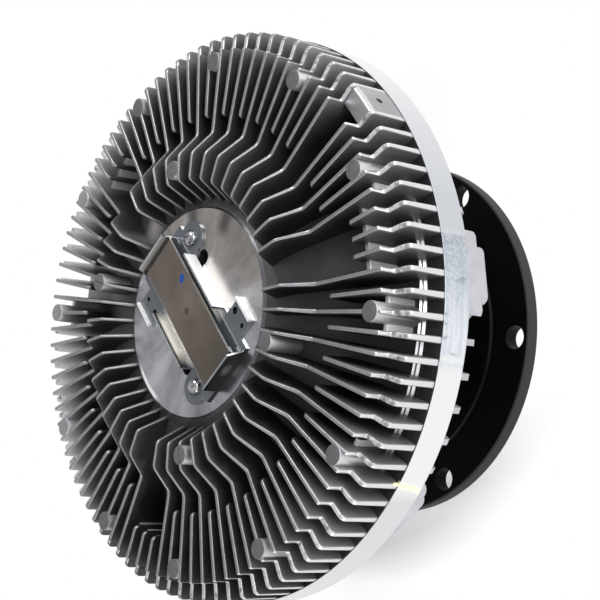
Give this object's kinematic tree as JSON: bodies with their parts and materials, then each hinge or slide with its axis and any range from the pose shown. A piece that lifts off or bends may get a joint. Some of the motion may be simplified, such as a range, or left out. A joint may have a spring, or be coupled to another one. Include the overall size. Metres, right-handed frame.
{
  "type": "viscous fan clutch",
  "caption": "Viscous engine fan clutch: black bolt-on drive flange and a finned cast aluminium housing that turns on it, with a bimetal strip valve on the front face.",
  "frame": {"origin": "centre of the drive flange's mounting face", "axes": "+Z along the axis of rotation, from the mounting face towards the fins and the bimetal strip; +X through the first outer ejector post, to the right in the picture"},
  "size_m": [0.28, 0.28, 0.157],
  "materials": {
    "cast_aluminium": "die cast, turned on the rim, the ledges and the centre face",
    "rear_aluminium": "die cast",
    "black_steel": "black phosphated forging",
    "plated_sheet": "bright zinc plated",
    "bimetal": "rolled, brownish grey",
    "bearing_steel": "ground",
    "cage_brass": "plain",
    "seal_rubber": "moulded",
    "rotor_aluminium": "turned",
    "dark_steel": "blackened",
    "spring_steel": "rolled"
  },
  "bodies": {
    "drive": {"drive_flange": "black_steel", "bearing_inner_ring": "bearing_steel", "rotor": "rotor_aluminium", "rotor_washer": "bearing_steel", "rotor_bolt": "dark_steel"},
    "housing": {"front_casting": "cast_aluminium", "rear_housing": "rear_aluminium", "strip_bracket": "plated_sheet", "bracket_screws": "plated_sheet", "bimetal_strip": "bimetal", "bearing_outer_ring": "bearing_steel", "bearing_seal_front": "seal_rubber", "bearing_seal_rear": "seal_rubber", "bearing_retainer": "dark_steel", "separator_plate": "bearing_steel", "plate_screws": "dark_steel", "lever_pivot": "bearing_steel", "pin_seal": "seal_rubber", "cover_seal": "seal_rubber", "cover_screws": "dark_steel"},
    "ball_set": {"bearing_cage": "cage_brass", "bearing_balls": "bearing_steel"},
    "pin": {"valve_pin": "bearing_steel"},
    "lever": {"valve_lever": "spring_steel"}
  },
  "joints": [
    {"name": "clutch_spin", "type": "hinge", "parent": "drive", "child": "housing", "pos_m": [0, 0, 0.065], "axis": [0, 0, 1], "continuous": true},
    {"name": "cage_spin", "type": "hinge", "parent": "drive", "child": "ball_set", "pos_m": [0, 0, 0.065], "axis": [0, 0, 1], "continuous": true},
    {"name": "valve_slide", "type": "slide", "parent": "housing", "child": "pin", "axis": [0, 0, 1], "range_m": [0, 0.0015], "deforming": ["bimetal_strip"]},
    {"name": "lever_tilt", "type": "hinge", "parent": "housing", "child": "lever", "pos_m": [-0.02, 0, 0.1264], "axis": [0, -1, 0], "range_deg": [0, 4.3]}
  ],
  "couplings": [
    {"joint": "cage_spin", "follows": "clutch_spin", "ratio": 0.5857},
    {"joint": "lever_tilt", "follows": "valve_slide", "rad_per_m": 50}
  ]
}
